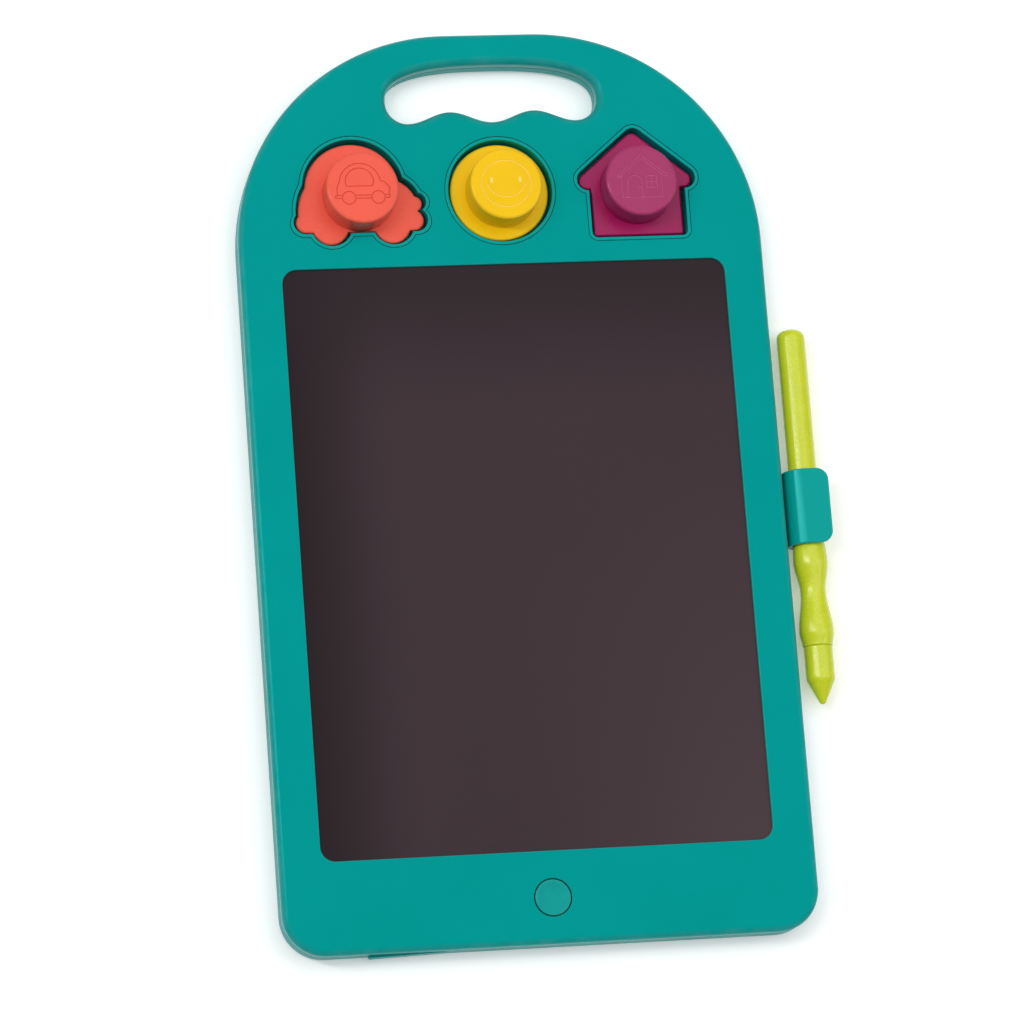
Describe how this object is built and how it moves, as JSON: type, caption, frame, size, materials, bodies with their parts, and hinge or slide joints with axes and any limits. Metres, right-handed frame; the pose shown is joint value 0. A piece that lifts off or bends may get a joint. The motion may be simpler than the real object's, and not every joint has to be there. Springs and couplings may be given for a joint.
{
  "type": "toddler writing tablet",
  "caption": "Toddler's LCD writing board with loose shape stamps in recesses, a clipped stylus, an erase button, a handle slot and a coin-cell drawer.",
  "frame": {"origin": "on the back face, under the middle of the screen window", "axes": "+X towards the stylus side, +Y towards the handle, +Z out of the screen; the board lies on its back on z = 0"},
  "size_m": [0.1978, 0.3178, 0.02],
  "materials": {
    "cover_teal": "satin moulded",
    "back_teal": "satin moulded",
    "clip_teal": "satin moulded",
    "tray_teal": "satin moulded",
    "button_teal": "satin moulded",
    "lcd_film": "smooth hard-coated film",
    "black_sheet": "matte",
    "foam": "cellular",
    "ribbon_film": "flexible film",
    "circuit_green": "solder mask",
    "chip_black": "moulded epoxy",
    "capacitor_sleeve": "shrink sleeve",
    "silicone": "translucent silicone",
    "contact_metal": "nickel plated",
    "screw_steel": "zinc plated",
    "cell_steel": "stainless",
    "stamp_red": "satin moulded",
    "stamp_red_face": "satin moulded",
    "stamp_yellow": "satin moulded",
    "stamp_yellow_face": "satin moulded",
    "stamp_plum": "satin moulded",
    "stamp_plum_face": "satin moulded",
    "stylus_lime": "fine matte texture"
  },
  "bodies": {
    "board": {"front_cover": "cover_teal", "back_cover": "back_teal", "pen_clip": "clip_teal", "car_tray": "tray_teal", "round_tray": "tray_teal", "house_tray": "tray_teal", "lcd_film": "lcd_film", "lcd_backing_plate": "black_sheet", "foam_pad": "foam", "lcd_ribbon": "ribbon_film", "circuit_board": "circuit_green", "controller_chip": "chip_black", "boost_capacitor": "capacitor_sleeve", "erase_switch": "chip_black", "button_spring": "silicone", "positive_contact": "contact_metal", "negative_contact": "contact_metal", "board_screws": "screw_steel", "case_screws": "screw_steel"},
    "button": {"erase_button": "button_teal"},
    "car": {"car_stamp": "stamp_red", "car_stamp_face": "stamp_red_face"},
    "round": {"round_stamp": "stamp_yellow", "round_stamp_face": "stamp_yellow_face"},
    "house": {"house_stamp": "stamp_plum", "house_stamp_face": "stamp_plum_face"},
    "stylus": {"stylus_body": "stylus_lime", "stylus_tip": "stylus_lime"},
    "drawer": {"battery_drawer": "back_teal", "coin_cell": "cell_steel", "battery_screw": "screw_steel"}
  },
  "joints": [
    {"name": "erase_press", "type": "slide", "parent": "board", "child": "button", "axis": [0, 0, -1], "range_m": [0, 0.001], "stiffness_N_per_m": 400, "springref_m": -0.0005, "deforming": ["button_spring"]},
    {"name": "car_lift", "type": "slide", "parent": "board", "child": "car", "axis": [0, 0, 1], "range_m": [0, 0.03]},
    {"name": "round_lift", "type": "slide", "parent": "board", "child": "round", "axis": [0, 0, 1], "range_m": [0, 0.03]},
    {"name": "house_lift", "type": "slide", "parent": "board", "child": "house", "axis": [0, 0, 1], "range_m": [0, 0.03]},
    {"name": "stylus_draw", "type": "slide", "parent": "board", "child": "stylus", "axis": [0, -1, 0], "range_m": [0, 0.08]},
    {"name": "drawer_slide", "type": "slide", "parent": "board", "child": "drawer", "axis": [0, -1, 0], "range_m": [0, 0.03]}
  ]
}
